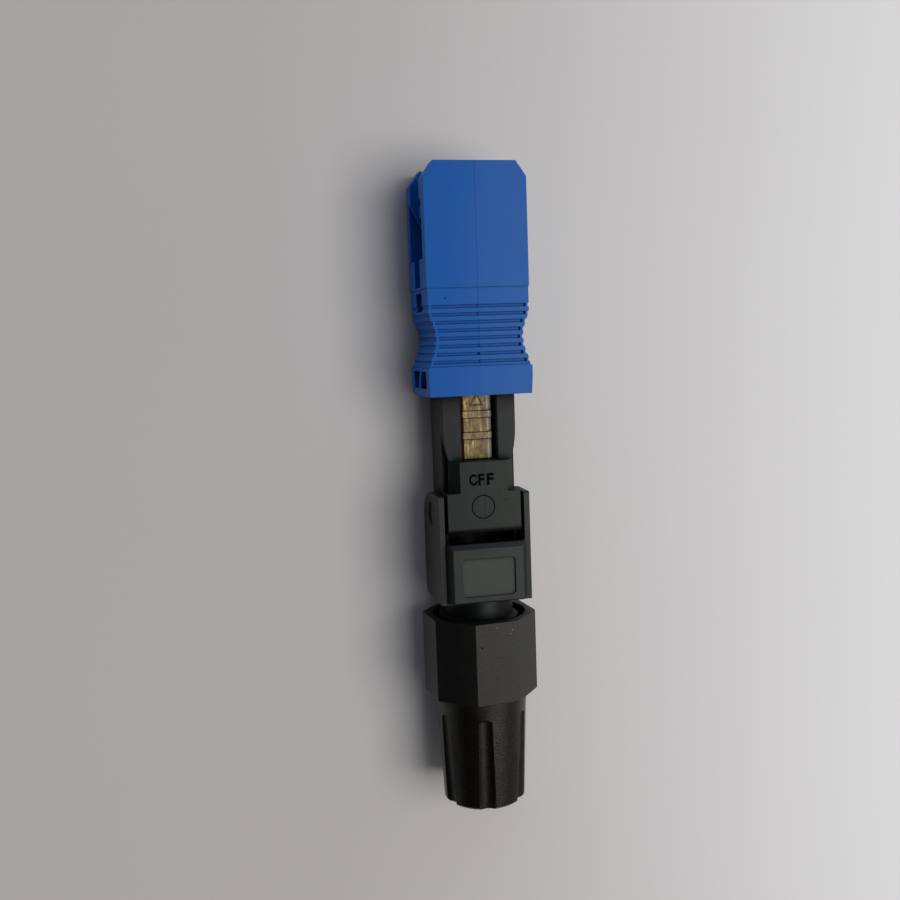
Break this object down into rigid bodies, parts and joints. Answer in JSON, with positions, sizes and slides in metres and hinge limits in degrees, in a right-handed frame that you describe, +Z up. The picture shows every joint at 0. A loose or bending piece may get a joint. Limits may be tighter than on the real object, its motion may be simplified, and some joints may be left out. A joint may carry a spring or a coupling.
{
  "type": "sc fibre connector",
  "caption": "Field-assembly fibre plug: sliding sleeve over a sprung ferrule, window on a brass splice, lock slider and a cap nut that grips the cable.",
  "frame": {"origin": "centre of the ferrule's tip, the plane where two connectors meet", "axes": "+Y along the connector's axis towards the mating end, +Z up out of the broad side with the window, +X to the right"},
  "size_m": [0.0098, 0.0568, 0.0098],
  "materials": {
    "sleeve_plastic": "satin moulded plastic, bright blue",
    "frame_plastic": "satin moulded plastic, deep blue",
    "zirconia": "polished white ceramic",
    "brass": "machined, bare",
    "spring_steel": "bright drawn wire",
    "glass_fibre": "clear",
    "body_plastic": "satin moulded plastic, black",
    "slider_plastic": "satin moulded plastic, black",
    "nut_plastic": "black moulded plastic, matte collar and shiny tail"
  },
  "bodies": {
    "connector_body": {"main_body": "body_plastic", "plug_frame": "frame_plastic", "ferrule_spring": "spring_steel"},
    "coupling": {"outer_housing": "sleeve_plastic"},
    "ferrule_unit": {"ferrule": "zirconia", "ferrule_holder": "brass", "splice_base": "brass", "splice_cover": "brass", "front_clip": "brass", "rear_clip": "brass", "fibre_stub": "glass_fibre"},
    "lock": {"lock_slider": "slider_plastic"},
    "nut": {"cap_nut": "nut_plastic"}
  },
  "joints": [
    {"name": "coupling_slide", "type": "slide", "parent": "connector_body", "child": "coupling", "axis": [0, -1, 0], "range_m": [0, 0.0018]},
    {"name": "ferrule_float", "type": "slide", "parent": "connector_body", "child": "ferrule_unit", "axis": [0, -1, 0], "range_m": [0, 0.001], "stiffness_N_per_m": 1500, "springref_m": -0.005, "deforming": ["ferrule_spring"]},
    {"name": "lock_slide", "type": "slide", "parent": "connector_body", "child": "lock", "axis": [0, 1, 0], "range_m": [0, 0.0064]},
    {"name": "nut_turn", "type": "hinge", "parent": "connector_body", "child": "nut", "pos_m": [0, -0.043, 0], "axis": [0, 1, 0], "range_deg": [-720, 540]}
  ]
}
